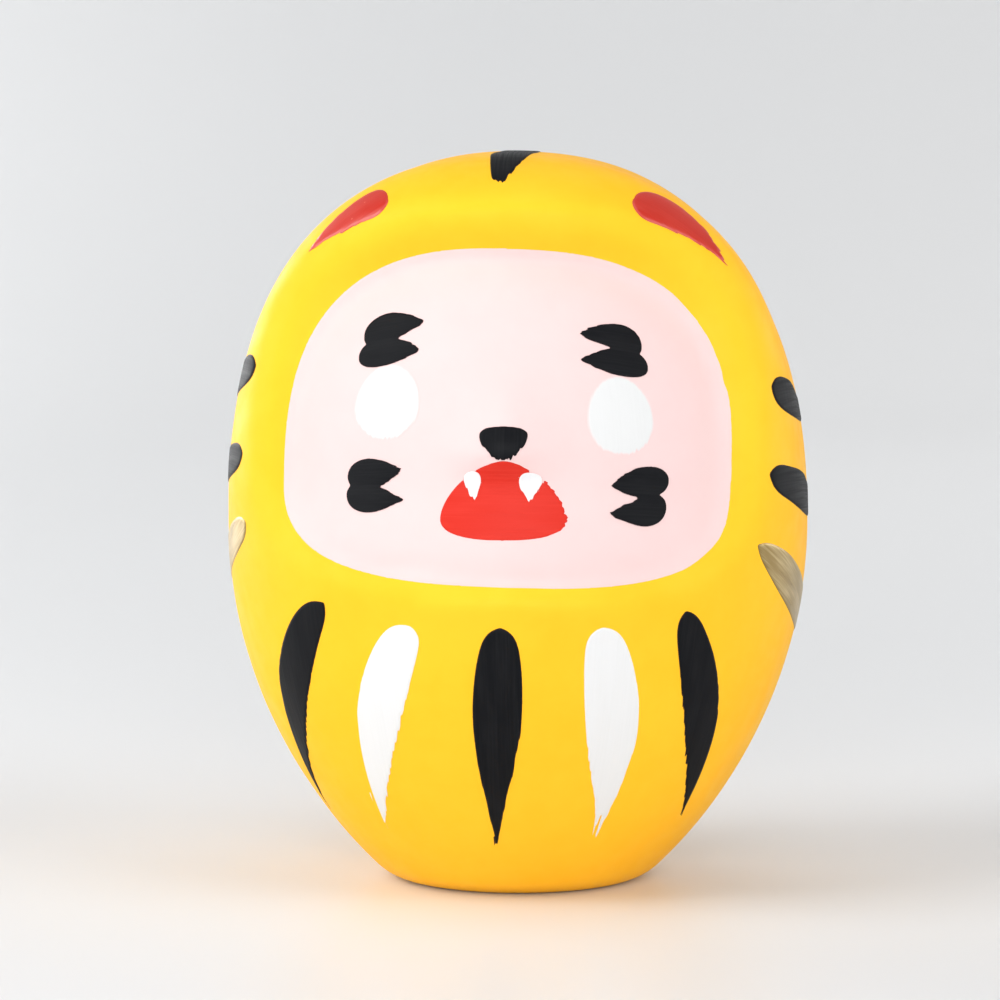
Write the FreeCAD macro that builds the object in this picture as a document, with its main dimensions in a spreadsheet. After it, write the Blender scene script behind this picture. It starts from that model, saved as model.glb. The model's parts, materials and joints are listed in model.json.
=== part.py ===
"""A tiger daruma: a papier-mache doll on a clay weight, painted by hand.

The doll stands on Z = 0 at the middle of its foot and looks towards -Y. Left and right in the
names are the left and right of someone who looks at its face. All lengths are millimetres and
all angles are degrees.

Its outside is one smooth skin: an egg whose front is moulded forwards and backwards into a hood
and a face. Every layer of paper, washi, ground and paint lies between two copies of that skin,
each set off from it by a fixed distance, so the layers touch face to face.
"""
import FreeCAD, Part
import Sketcher

import bisect
import math
import os
import types

Vector = FreeCAD.Vector

document = FreeCAD.newDocument("TigerDaruma")
sheet = document.addObject("Spreadsheet::Sheet", "Dimensions")
nodes = []

DIMENSIONS = {
    # The egg: half a rounded crown over a foot that narrows to a flat
    "doll_height": 109.5,
    "doll_width": 87.0,
    "doll_depth": 83.0,
    "waist_height": 54.0,
    "crown_exponent": 2.27,
    "foot_reach": 64.0,
    "foot_exponent": 1.5,
    "foot_corner_radius": 8.0,
    # The pink face, whose outline is widest low down
    "face_middle": -0.6,
    "face_widest_height": 63.75,
    "face_half_width": 32.5,
    "face_rise": 32.2,
    "face_drop": 15.2,
    "face_upper_exponent": 2.6,
    "face_lower_exponent": 3.3,
    "face_roll": 1.8,
    # The raised hood and the sunken face, as shares of the way from the face's middle to its edge
    "ridge_place": 1.16,
    "ridge_inner_spread": 0.1,
    "ridge_outer_spread": 0.27,
    "ridge_brow_height": 3.4,
    "ridge_side_height": 1.4,
    "ridge_chin_height": 0.4,
    "groove_brim": 1.12,
    "groove_place": 0.92,
    "groove_brow_depth": 5.0,
    "groove_side_depth": 3.6,
    "groove_chin_depth": 0.9,
    "face_bulge": 1.2,
    # The moulded nose under the painted one
    "nose_middle": -0.5,
    "nose_top_height": 82.0,
    "nose_tip_height": 67.6,
    "nose_foot_height": 63.4,
    "nose_half_width": 6.5,
    "nose_bump": 2.0,
    # Layers, from the outside inwards
    "mark_thickness": 0.15,
    "yellow_thickness": 0.2,
    "ground_thickness": 0.25,
    "washi_thickness": 0.12,
    "paper_thickness": 1.0,
    # Washi strips over the joints of the paper shell
    "seam_strip_width": 8.0,
    "base_strip_bottom": 4.0,
    "base_strip_top": 11.0,
    # Clay weight
    "weight_rim_height": 7.0,
    "weight_blank_radius": 34.0,
    "weight_shoulder_radius": 22.5,
    "weight_top_radius": 28.5,
    "weight_top_height": 20.0,
    "weight_dish_radius": 20.0,
    "weight_dish_depth": 3.0,
    "stick_hole_radius": 4.0,
    # How far the skin's own grid tips back, so that it gathers clear of the painted marks
    "grid_tip": 28.0,
    # How far a mark's outline is carried out of and into the skin to trim its layer of paint
    "prism_outward": 12.0,
    "prism_inward": 14.0,
}

# Each brush dab runs from its blunt head to its tip. Places are (angle from the front, height).
# name: (head angle, head height, tip angle, tip height, breadth, bow, lean, widest place,
#        bluntness of the head, sharpness of the tip)
DABS = {
    "eyebrow_left_upper": (-35.9, 84.4, -22.1, 87.05, 4.7, 0.6, -0.07, 0.39, 2.2, 0.75),
    "eyebrow_left_lower": (-35.8, 81.2, -21.6, 82.9, 4.3, -0.05, 0.15, 0.44, 2.1, 0.75),
    "eyebrow_right_upper": (31.1, 82.95, 17.4, 85.35, 4.3, -0.6, -0.1, 0.33, 1.85, 0.8),
    "eyebrow_right_lower": (31.6, 79.8, 16.9, 81.5, 4.2, 0.0, -0.2, 0.44, 2.1, 0.9),
    "whiskers_left_upper": (-34.3, 63.55, -22.1, 65.05, 4.6, 0.2, -0.1, 0.39, 1.7, 0.95),
    "whiskers_left_lower": (-34.15, 61.15, -21.3, 60.75, 4.2, -0.35, 0.0, 0.37, 1.7, 1.0),
    "whiskers_right_upper": (33.7, 63.45, 21.5, 62.9, 4.35, -0.2, 0.1, 0.46, 1.9, 0.75),
    "whiskers_right_lower": (32.7, 59.8, 20.5, 58.8, 4.25, 0.45, 0.05, 0.36, 1.95, 1.0),
    "fang_left": (-6.9, 65.1, -6.5, 60.9, 2.5, 0.0, -0.1, 0.33, 2.0, 1.0),
    "fang_right": (5.0, 64.9, 4.2, 60.8, 3.3, -0.1, 0.0, 0.33, 2.1, 1.0),
    "ear_left": (-37.8, 100.8, -57.4, 92.9, 6.8, -0.4, -0.2, 0.2, 2.1, 1.25),
    "ear_right": (37.3, 101.0, 57.6, 91.1, 7.9, 1.5, -0.05, 0.24, 2.2, 1.1),
    "crown_stripe": (162.0, 109.1, -8.5, 101.55, 5.3, -0.4, -0.4, 0.55, 3.0, 0.55),
    "crown_back_stripe": (142.0, 108.9, 117.0, 106.2, 4.2, 0.0, 0.0, 0.4, 2.4, 1.0),
    "side_stripe_left_upper": (-61.3, 78.0, -114.0, 71.0, 5.2, 1.2, 0.1, 0.25, 2.5, 1.1),
    "side_stripe_left_lower": (-62.2, 65.5, -114.2, 59.2, 5.1, 0.7, 0.1, 0.3, 2.4, 1.0),
    "side_stripe_right_upper": (59.4, 75.4, 113.9, 68.7, 5.4, -1.0, -0.3, 0.22, 2.4, 1.1),
    "side_stripe_right_lower": (56.2, 63.2, 113.0, 54.5, 5.7, -0.65, -0.15, 0.42, 2.5, 1.15),
    "gold_stripe_left": (-61.9, 55.7, -105.7, 42.5, 5.4, -0.5, 0.2, 0.5, 2.2, 0.8),
    "gold_stripe_right": (53.3, 53.2, 103.4, 36.8, 6.7, -0.7, 0.05, 0.6, 1.4, 0.8),
    "belly_stripe_far_left": (-38.0, 45.3, -71.9, 11.3, 7.0, -1.6, -0.55, 0.38, 1.9, 1.6),
    "belly_stripe_left": (-18.9, 42.7, -39.9, 10.6, 7.4, -1.35, -0.25, 0.35, 2.6, 1.15),
    "belly_stripe_middle": (-1.2, 42.8, -4.4, 8.5, 7.1, -0.1, 0.0, 0.36, 2.2, 1.35),
    "belly_stripe_right": (18.5, 42.7, 25.9, 9.2, 8.2, 1.2, 0.05, 0.42, 2.4, 1.35),
    "belly_stripe_far_right": (36.1, 44.5, 56.2, 11.5, 6.7, 1.7, -0.05, 0.47, 1.9, 1.35),
}
DAB_SIZES = (
    "head_angle",
    "head_height",
    "tip_angle",
    "tip_height",
    "breadth",
    "bow",
    "lean",
    "widest_place",
    "bluntness",
    "sharpness",
)

# A rounded spot is two half superellipses that meet at its widest height.
# name: (angle, widest height, half width, rise, drop, upper exponent, lower exponent)
SPOTS = {
    "eye_left": (-26.9, 74.2, 5.35, 6.3, 4.8, 1.95, 1.95),
    "eye_right": (24.1, 72.15, 5.2, 6.7, 4.85, 1.95, 2.0),
    "nose_spot": (-0.7, 70.15, 3.4, 1.3, 3.4, 2.6, 1.55),
    "mouth": (-0.8, 58.25, 8.95, 8.3, 3.05, 1.6, 2.5),
}
SPOT_SIZES = ("angle", "widest_height", "half_width", "rise", "drop", "upper_exponent", "lower_exponent")

BODY_MARKS = ("ear", "crown_stripe", "crown_back_stripe", "side_stripe", "gold_stripe", "belly_stripe")

# How finely the skin is laid out
GRID_AROUND = 92
GRID_ALONG = 76
PATCHES = 4
FIRST_JOIN = 135.0
FINE_STEPS = 400
PROFILE_STEP = 0.002
GLOBE_SPAN = 0.85 * math.pi
POLE_ROUNDS = 30
OUTLINE_STEPS = 7
DAB_STEPS = 9
DAB_HEAD_POWER = 3.0
DAB_TAIL_POWER = 1.5
NORMAL_STEP = 0.01
SLOPE_STEP = 0.05
FORWARD = Vector(0, -1, 0)
# The shape of the relief, in shares of its own lengths
NOSE_TAPER = 0.45
FRONT_FADE_START = 0.05
FRONT_FADE_LENGTH = 0.35
# A box that is larger than the doll
ROOM = 200.0


def fill_sheet():
    """Write every driving dimension into the sheet under its own alias, and read them all back."""
    entries = dict(DIMENSIONS)
    for sizes, table in ((DAB_SIZES, DABS), (SPOT_SIZES, SPOTS)):
        for name, numbers in table.items():
            for size, number in zip(sizes, numbers):
                entries[name + "_" + size] = number
    for row, (alias, number) in enumerate(entries.items(), start=1):
        sheet.set("A%d" % row, alias)
        sheet.set("B%d" % row, str(number))
        sheet.setAlias("B%d" % row, alias)
    document.recompute()
    return types.SimpleNamespace(**{alias: float(sheet.get(alias)) for alias in entries})


dim = fill_sheet()


def sizes_of(name, size_names):
    return [getattr(dim, name + "_" + size_name) for size_name in size_names]


def ease(share):
    """Go smoothly from 0 to 1 as the share does, and stay there outside it."""
    share = min(1.0, max(0.0, share))
    return share * share * (3.0 - 2.0 * share)


def superellipse(share, exponent):
    """The height, from 1 to 0, of a quarter superellipse at a share of its width."""
    return max(0.0, 1.0 - abs(share) ** exponent) ** (1.0 / exponent)


# ---------------------------------------------------------------- the egg


def flank_radius(height):
    """The half width of the plain egg at a height above its rounded foot corner."""
    above_waist = height - dim.waist_height
    if above_waist >= 0:
        share = above_waist / (dim.doll_height - dim.waist_height)
        return dim.doll_width / 2 * superellipse(share, dim.crown_exponent)
    share = above_waist / dim.foot_reach
    return dim.doll_width / 2 * (1 - share * share) ** (1 / dim.foot_exponent)


def flank_slope(height):
    """The angle, in radians, that the flank leans out from the vertical."""
    rise = 2 * NORMAL_STEP
    run = flank_radius(height + NORMAL_STEP) - flank_radius(height - NORMAL_STEP)
    return math.atan2(run, rise)


def foot_corner():
    """The radius of the foot's flat, and the height where its rounded corner meets the flank."""
    low = NORMAL_STEP
    high = dim.foot_corner_radius
    while high - low > NORMAL_STEP / 100:
        height = (low + high) / 2
        if dim.foot_corner_radius * (1 - math.sin(flank_slope(height))) > height:
            low = height
        else:
            high = height
    flat_radius = flank_radius(high) - dim.foot_corner_radius * math.cos(flank_slope(high))
    return flat_radius, high


def fine_profile():
    """Close (walked length, radius, height) steps from the edge of the foot's flat to the crown."""
    flat_radius, corner_height = foot_corner()
    corner = dim.foot_corner_radius
    turn = math.pi / 2 - flank_slope(corner_height)
    crown_rise = dim.doll_height - dim.waist_height
    places = []
    for step in range(FINE_STEPS):
        angle = turn * step / FINE_STEPS
        places.append((flat_radius + corner * math.sin(angle), corner * (1 - math.cos(angle))))
    for step in range(FINE_STEPS):
        height = corner_height + (dim.waist_height - corner_height) * step / FINE_STEPS
        places.append((flank_radius(height), height))
    for step in range(FINE_STEPS + 1):
        share = math.cos(math.pi / 2 * step / FINE_STEPS)
        height = dim.waist_height + crown_rise * superellipse(share, dim.crown_exponent)
        places.append((dim.doll_width / 2 * share, height))
    walked = [0.0]
    for start, end in zip(places, places[1:]):
        walked.append(walked[-1] + math.dist(start, end))
    return walked, places


WALKED, PLACES = fine_profile()


def profile_place(share):
    """The (radius, height) at a share of the way along the profile from the foot to the crown."""
    goal = min(1.0, max(0.0, share)) * WALKED[-1]
    after = min(max(bisect.bisect_left(WALKED, goal), 1), len(WALKED) - 1)
    part = (goal - WALKED[after - 1]) / (WALKED[after] - WALKED[after - 1])
    (r_start, z_start), (r_end, z_end) = PLACES[after - 1], PLACES[after]
    return r_start + part * (r_end - r_start), z_start + part * (z_end - z_start)


def profile_lean(share):
    """The angle, in radians, of the profile's outward direction above the horizontal."""
    if share <= 0:
        return -math.pi / 2
    r_below, z_below = profile_place(share - PROFILE_STEP)
    r_above, z_above = profile_place(share + PROFILE_STEP)
    return math.atan2(r_below - r_above, z_above - z_below)


def egg_frame(angle, place, lean):
    """A point of the plain egg and the direction straight out of it there.

    The angle is turned from the front and the lean is that of the profile's own outward
    direction above the horizontal, both in radians.
    """
    radius, height = place
    flattening = dim.doll_depth / dim.doll_width
    point = Vector(radius * math.sin(angle), -flattening * radius * math.cos(angle), height)
    level = math.cos(lean)
    outward = Vector(level * math.sin(angle), -level * math.cos(angle) / flattening, math.sin(lean))
    return point, outward.normalize()


# ---------------------------------------------------------------- the moulded face


def face_position(x, z):
    """How far across and up a place lies in the face, and its share of the way to the outline."""
    roll = math.radians(dim.face_roll)
    right = x - dim.face_middle
    above = z - dim.face_widest_height
    across = right * math.cos(roll) - above * math.sin(roll)
    up = right * math.sin(roll) + above * math.cos(roll)
    reach, exponent = dim.face_rise, dim.face_upper_exponent
    if up < 0:
        reach, exponent = dim.face_drop, dim.face_lower_exponent
    share = (abs(across / dim.face_half_width) ** exponent + abs(up / reach) ** exponent) ** (1 / exponent)
    return share, up / reach


def nose_bump(x, z):
    """The height of the moulded nose, whose bridge fades upwards and whose tip drops off short."""
    bridge = (z - dim.nose_tip_height) / (dim.nose_top_height - dim.nose_tip_height)
    along = ease(1 - bridge)
    if bridge < 0:
        along = ease((z - dim.nose_foot_height) / (dim.nose_tip_height - dim.nose_foot_height))
    half_width = dim.nose_half_width * (1 - NOSE_TAPER * min(1.0, max(0.0, bridge)))
    return dim.nose_bump * along * math.exp(-(((x - dim.nose_middle) / half_width) ** 2))


def moulding(point, outward):
    """How the skin is carried off the plain egg: the hood swells out and the face sinks back."""
    share, rise_share = face_position(point.x, point.z)
    brow = ease(rise_share)
    chin = ease(-rise_share)
    side = 1 - brow - chin
    ridge = side * dim.ridge_side_height + brow * dim.ridge_brow_height + chin * dim.ridge_chin_height
    spread = dim.ridge_inner_spread if share < dim.ridge_place else dim.ridge_outer_spread
    swell = ridge * math.exp(-(((share - dim.ridge_place) / spread) ** 2))
    groove = side * dim.groove_side_depth + brow * dim.groove_brow_depth + chin * dim.groove_chin_depth
    forward = nose_bump(point.x, point.z)
    forward -= groove * ease((dim.groove_brim - share) / (dim.groove_brim - dim.groove_place))
    if share < dim.groove_place:
        forward += dim.face_bulge * (1 - (share / dim.groove_place) ** 2)
    front_share = -point.y / (dim.doll_depth / 2)
    front = ease((front_share - FRONT_FADE_START) / FRONT_FADE_LENGTH)
    return (outward * swell + FORWARD * forward) * front


def moulded_place(angle, share):
    """A point of the moulded skin and the direction straight out of it there."""
    point, outward = egg_frame(angle, profile_place(share), profile_lean(share))
    across = Vector(math.cos(angle), math.sin(angle), 0)
    across = (across - outward * across.dot(outward)).normalize()
    tangents = []
    for along in (across, outward.cross(across)):
        ahead = moulding(point + along * SLOPE_STEP, outward)
        behind = moulding(point - along * SLOPE_STEP, outward)
        tangents.append(along + (ahead - behind) * (0.5 / SLOPE_STEP))
    return point + moulding(point, outward), tangents[0].cross(tangents[1]).normalize()


# ---------------------------------------------------------------- skins and layers


def grid_place(angle, share):
    """Where on the egg a grid line's place lies, as an angle and a share of the profile.

    The columns gather at a point behind the crown, which no mark and no joint of the shell
    crosses: the grid is laid on a globe that tips back more and more from its foot to its top.
    """
    polar = (1 - share) * GLOBE_SPAN
    tip = math.radians(dim.grid_tip) * ease(share)
    x = math.sin(polar) * math.sin(angle)
    y = -math.sin(polar) * math.cos(angle)
    z = math.cos(polar)
    y, z = y * math.cos(tip) + z * math.sin(tip), z * math.cos(tip) - y * math.sin(tip)
    return math.atan2(x, -y), 1 - math.acos(min(1.0, z)) / GLOBE_SPAN


def skin_columns():
    """Columns of places on the moulded skin, each from the foot's edge up to the top."""
    columns = []
    for around in range(GRID_AROUND):
        angle = math.radians(FIRST_JOIN) + 2 * math.pi * around / GRID_AROUND
        shares = [along / GRID_ALONG for along in range(GRID_ALONG + 1)]
        columns.append([moulded_place(*grid_place(angle, share)) for share in shares])
    return columns


COLUMNS = skin_columns()


def column_poles(column):
    """The poles, knots and repeats of the even cubic spline through a column of points."""
    curve = Part.BSplineCurve()
    even = [index / (len(column) - 1) for index in range(len(column))]
    curve.interpolate(Points=column, Parameters=even)
    return curve.getPoles(), curve.getKnots(), curve.getMultiplicities()


def ring_poles(ring):
    """The poles of the even closed cubic spline through a ring of points."""
    poles = list(ring)
    for _ in range(POLE_ROUNDS):
        poles = [
            point * 1.5 - (poles[index - 1] + poles[(index + 1) % len(ring)]) * 0.25
            for index, point in enumerate(ring)
        ]
    return poles


def whole_surface(offset):
    """The skin as one spline surface, closed all round and gathered to a point at its top."""
    splines = [column_poles([point + outward * offset for point, outward in column]) for column in COLUMNS]
    rings = [ring_poles(ring) for ring in zip(*(poles for poles, _, _ in splines))]
    _, knots, repeats = splines[0]
    turns = list(range(GRID_AROUND + 1))
    surface = Part.BSplineSurface()
    surface.buildFromPolesMultsKnots(
        [list(column) for column in zip(*rings)], [1] * len(turns), repeats, turns, knots, True, False, 3, 3
    )
    return surface


def closed_skin(offset):
    """The solid inside the skin at an offset: four smooth faces closed by the flat of the foot."""
    surface = whole_surface(offset)
    width = GRID_AROUND // PATCHES
    faces = []
    for patch in range(PATCHES):
        gore = surface.copy()
        gore.segment(patch * width, (patch + 1) * width, 0, 1)
        faces.append(gore.toShape())
    edges = [edge for face in faces for edge in face.Edges]
    foot_edges = [edge for edge in edges if edge.BoundBox.ZLength < NORMAL_STEP < edge.Length]
    faces.append(Part.Face(Part.Wire(Part.__sortEdges__(foot_edges))))
    shell = Part.Shell(faces)
    shell.sewShape()
    skin = Part.Solid(shell)
    if skin.Volume < 0:
        skin.reverse()
    return skin


def layer(outer_offset, inner_offset):
    """The hollow solid between two skins."""
    shells = [closed_skin(outer_offset).Shells[0], closed_skin(inner_offset).Shells[0].reversed()]
    return Part.makeSolid(Part.Compound(shells))


def add_shape(name, shape, placement=None):
    """Hold a shape that only a formula can make as an object of the document."""
    feature = document.addObject("Part::Feature", name)
    feature.Shape = shape
    if placement is not None:
        feature.Placement = placement
    return feature


def add_layer(name, outer_offset, inner_offset):
    return add_shape(name, layer(outer_offset, inner_offset))


def add_box(name, low, high):
    """A box between two corners, whose coordinates are numbers or expressions of the sheet."""
    box = document.addObject("Part::Box", name)
    for axis, edge, start, end in zip("xyz", ("Length", "Width", "Height"), low, high):
        box.setExpression("Placement.Base." + axis, str(start))
        box.setExpression(edge, "(%s) - (%s)" % (end, start))
    return box


def add_cylinder(name, radius, low, high):
    """An upright cylinder on the doll's axis, between two heights."""
    cylinder = document.addObject("Part::Cylinder", name)
    cylinder.setExpression("Radius", radius)
    cylinder.setExpression("Placement.Base.z", str(low))
    cylinder.setExpression("Height", "(%s) - (%s)" % (high, low))
    return cylinder


def add_common(name, first, second):
    common = document.addObject("Part::Common", name)
    common.Base = first
    common.Tool = second
    return common


def add_cut(name, base, tool):
    cut = document.addObject("Part::Cut", name)
    cut.Base = base
    cut.Tool = tool
    return cut


def keep(feature, label):
    """Name a finished piece and list it as a node of the part."""
    feature.Label = label
    nodes.append(feature)
    return feature


# ---------------------------------------------------------------- outlines of the painted marks


def mark_frame(angle, height, along):
    """A placement on the egg whose Z points out of it and whose X follows a direction."""
    turned = math.radians(angle)
    lean = -math.atan(math.tan(flank_slope(height)))
    point, outward = egg_frame(turned, (flank_radius(height), height), lean)
    ahead = (along - outward * along.dot(outward)).normalize()
    rotation = FreeCAD.Rotation(ahead, outward.cross(ahead), outward, "ZXY")
    return FreeCAD.Placement(point, rotation)


def egg_point(angle, height):
    return egg_frame(math.radians(angle), (flank_radius(height), height), 0.0)[0]


def outlined_face(*sides):
    """The flat face inside smooth curves that follow one another, each through its own points."""
    edges = []
    for points in sides:
        curve = Part.BSplineCurve()
        curve.interpolate(points)
        edges.append(curve.toShape())
    return Part.Face(Part.Wire(edges))


def dab_half_width(share, widest_place, bluntness, sharpness):
    """The half width of a brush dab, as a share of its greatest, at a share of its length."""
    if share < widest_place:
        return (1 - (1 - share / widest_place) ** DAB_HEAD_POWER) ** (1 / bluntness)
    past = (share - widest_place) / (1 - widest_place)
    return max(0.0, 1 - past ** DAB_TAIL_POWER) ** sharpness


def dab_face(length, breadth, bow, lean, *form):
    """The outline of one brush dab along X: it swells from a blunt head and thins to a tip.

    The bow bends its middle line, and the lean swells it more on one side than on the other.
    """
    right = []
    left = []
    for step in range(DAB_STEPS + 1):
        share = (1 - math.cos(math.pi * step / DAB_STEPS)) / 2
        half = breadth / 2 * dab_half_width(share, *form)
        middle = bow * math.sin(math.pi * share) + lean * half
        right.append(Vector(share * length, middle - half, 0))
        left.append(Vector(share * length, middle + half, 0))
    return outlined_face(right, left[::-1])


def spot_face(half_width, rise, drop, upper_exponent, lower_exponent):
    """The outline of a rounded spot above and below its widest line, with Y up."""
    halves = []
    for first_turn, reach, exponent in ((0, rise, upper_exponent), (math.pi, drop, lower_exponent)):
        points = []
        for step in range(2 * OUTLINE_STEPS + 1):
            turn = first_turn + math.pi / 2 * step / OUTLINE_STEPS
            across, up = math.cos(turn), math.sin(turn)
            scale = (abs(across) ** exponent + abs(up) ** exponent) ** (-1 / exponent)
            points.append(Vector(half_width * across * scale, reach * up * scale, 0))
        halves.append(points)
    return outlined_face(*halves)


def add_prism(name, face, placement):
    """Carry a mark's outline straight out of and into the skin."""
    outline = add_shape(name + "_outline", face, placement)
    prism = document.addObject("Part::Extrusion", name + "_prism")
    prism.Base = outline
    prism.DirMode = "Normal"
    prism.Solid = True
    prism.setExpression("LengthFwd", "Dimensions.prism_outward")
    prism.setExpression("LengthRev", "Dimensions.prism_inward")
    return prism


def add_dab_prism(name):
    head_angle, head_height, tip_angle, tip_height, *form = sizes_of(name, DAB_SIZES)
    head = egg_point(head_angle, head_height)
    tip = egg_point(tip_angle, tip_height)
    frame = mark_frame((head_angle + tip_angle) / 2, (head_height + tip_height) / 2, tip - head)
    outward = frame.Rotation.multVec(Vector(0, 0, 1))
    frame.Base = head - outward * (head - frame.Base).dot(outward)
    length = (tip - head).dot(frame.Rotation.multVec(Vector(1, 0, 0)))
    return add_prism(name, dab_face(length, *form), frame)


def add_spot_prism(name):
    angle, widest_height, *form = sizes_of(name, SPOT_SIZES)
    level = Vector(math.cos(math.radians(angle)), math.sin(math.radians(angle)), 0)
    return add_prism(name, spot_face(*form), mark_frame(angle, widest_height, level))


def add_face_prism():
    """The face's own outline, carried straight back from in front of the doll to its middle."""
    exponents = (dim.face_upper_exponent, dim.face_lower_exponent)
    outline = spot_face(dim.face_half_width, dim.face_rise, dim.face_drop, *exponents)
    facing = FreeCAD.Rotation(Vector(1, 0, 0), Vector(0, 0, 1), Vector(0, -1, 0), "ZXY")
    roll = FreeCAD.Rotation(Vector(0, 0, 1), -dim.face_roll)
    placement = FreeCAD.Placement(Vector(dim.face_middle, 0, dim.face_widest_height), facing * roll)
    prism = add_prism("face_paint", outline, placement)
    prism.setExpression("LengthFwd", "Dimensions.doll_depth")
    prism.setExpression("LengthRev", "0")
    return prism


# ---------------------------------------------------------------- the pieces


def add_shells(paper):
    """The two halves of the paper shell, cut open to free the mould and glued together again."""
    weight_rim = "Dimensions.weight_rim_height"
    front = add_box("front_half", (-ROOM, -ROOM, weight_rim), (ROOM, 0, ROOM))
    back = add_box("back_half", (-ROOM, 0, weight_rim), (ROOM, ROOM, ROOM))
    keep(add_common("shell_front", paper, front), "paper_shell_front")
    keep(add_common("shell_back", paper, back), "paper_shell_back")


def add_strips(washi, recess, ground):
    """Washi over the joints of the shell, and the ground coat that is thinner where it lies."""
    half = "Dimensions.seam_strip_width / 2"
    low, top = "Dimensions.base_strip_bottom", "Dimensions.base_strip_top"
    zones = {
        "seam_strip": add_box("seam_zone", (-ROOM, "-" + half, top), (ROOM, half, ROOM)),
        "base_strip": add_box("base_zone", (-ROOM, -ROOM, low), (ROOM, ROOM, top)),
    }
    for name, zone in zones.items():
        keep(add_common(name + "_washi", washi, zone), name)
        ground = add_cut(name + "_bed", ground, add_common(name + "_recess", recess, zone))
    return ground


def add_weight(filling):
    """The clay weight: a dished plug turned on its axis, with the hole of the dipping stick."""
    body = document.addObject("PartDesign::Body", "WeightBlank")
    sketch = body.newObject("Sketcher::SketchObject", "WeightSection")
    plane = next(part for part in body.Origin.OriginFeatures if part.Role == "XZ_Plane")
    sketch.AttachmentSupport = [(plane, "")]
    sketch.MapMode = "FlatFace"
    corners = (
        ("stick_hole_radius", "0"),
        ("weight_blank_radius", "0"),
        ("weight_blank_radius", "weight_rim_height"),
        ("weight_shoulder_radius", "weight_rim_height"),
        ("weight_top_radius", "weight_top_height"),
        ("weight_dish_radius", "weight_top_height"),
        ("stick_hole_radius", "weight_top_height - Dimensions.weight_dish_depth"),
    )
    for start in range(len(corners)):
        ends = [Vector(1 + start, start % 3, 0), Vector(2 + start, (start + 1) % 3, 0)]
        sketch.addGeometry(Part.LineSegment(*ends), False)
    for index, (radius, height) in enumerate(corners):
        before = (index - 1) % len(corners)
        sketch.addConstraint(Sketcher.Constraint("Coincident", before, 2, index, 1))
        for kind, expression in (("DistanceX", radius), ("DistanceY", height)):
            place = sketch.addConstraint(Sketcher.Constraint(kind, -1, 1, index, 1, 1.0))
            if expression == "0":
                sketch.setDatum(place, 0.0)
            else:
                sketch.setExpression("Constraints[%d]" % place, "Dimensions." + expression)
    turned = body.newObject("PartDesign::Revolution", "WeightTurned")
    turned.Profile = sketch
    turned.ReferenceAxis = (sketch, ["V_Axis"])
    turned.Angle = 360.0
    body.Tip = turned
    keep(add_common("weight", filling, body), "base_weight")


def add_pair_of_dabs(name):
    """The fused prisms of two dabs whose round heads run together."""
    pair = document.addObject("Part::Fuse", name + "_pair")
    pair.Base = add_dab_prism(name + "_upper")
    pair.Tool = add_dab_prism(name + "_lower")
    return pair


def add_face_marks(paint):
    """Eyes, eyebrows, whiskers, nose and mouth, which all lie on the face coat side by side."""
    for side in ("left", "right"):
        eyebrow = add_pair_of_dabs("eyebrow_" + side)
        keep(add_common("eyebrow_%s_paint" % side, paint, eyebrow), "eyebrow_" + side)
        eye = add_common("eye_%s_oval" % side, paint, add_spot_prism("eye_" + side))
        keep(add_cut("eye_%s_paint" % side, eye, eyebrow), "eye_" + side)
        whiskers = add_pair_of_dabs("whiskers_" + side)
        keep(add_common("whiskers_%s_paint" % side, paint, whiskers), "whiskers_" + side)
    keep(add_common("nose_paint", paint, add_spot_prism("nose_spot")), "nose_spot")
    mouth = add_common("mouth_round", paint, add_spot_prism("mouth"))
    for side in ("left", "right"):
        fang = add_dab_prism("fang_" + side)
        keep(add_common("fang_%s_paint" % side, paint, fang), "fang_" + side)
        mouth = add_cut("mouth_round_fang_" + side, mouth, fang)
    keep(mouth, "mouth")


def add_body_marks(paint):
    """Ears, crown stripes, side stripes and belly stripes, which all lie on the yellow coat."""
    for name in DABS:
        if name.startswith(BODY_MARKS):
            keep(add_common(name + "_paint", paint, add_dab_prism(name)), name)


def build():
    mark = dim.mark_thickness
    ground_top = -dim.yellow_thickness
    paper_top = ground_top - dim.ground_thickness
    washi_top = paper_top + dim.washi_thickness
    paper_bottom = paper_top - dim.paper_thickness

    add_shells(add_layer("paper_layer", paper_top, paper_bottom))
    add_weight(add_shape("filling", closed_skin(paper_top)))

    washi = add_layer("washi_layer", washi_top, paper_top)
    recess = add_layer("recess_layer", washi_top, paper_bottom)
    ground = add_layer("ground_layer", ground_top, paper_top)
    ground = add_strips(washi, recess, ground)

    hole = add_cylinder("stick_hole", "Dimensions.stick_hole_radius", -1, "Dimensions.weight_rim_height")
    keep(add_cut("ground_open", ground, hole), "ground_coat")
    yellow = add_layer("yellow_layer", 0.0, ground_top)
    keep(add_cut("yellow_open", yellow, hole), "yellow_coat")

    first_paint = add_layer("first_paint_layer", mark, 0.0)
    keep(add_common("face_coat", first_paint, add_face_prism()), "face_paint")
    add_body_marks(first_paint)
    add_face_marks(add_layer("second_paint_layer", 2 * mark, mark))


def check():
    """Recompute the document and stop at anything that failed."""
    document.recompute()
    for item in document.Objects:
        if "Invalid" in item.State or "Error" in item.State:
            raise RuntimeError("%s failed: %s" % (item.Name, item.State))
    for node in nodes:
        shape = node.Shape
        if shape.isNull() or not shape.isValid() or len(shape.Solids) != 1 or shape.Volume <= 0:
            raise RuntimeError("%s is not one good solid" % node.Label)


def write():
    os.makedirs("parts", exist_ok=True)
    for node in nodes:
        node.Shape.exportStep(os.path.join("parts", node.Label + ".step"))
        print("%-26s %10.2f mm3" % (node.Label, node.Shape.Volume))


build()
check()
write()
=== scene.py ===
import json
import math

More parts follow.
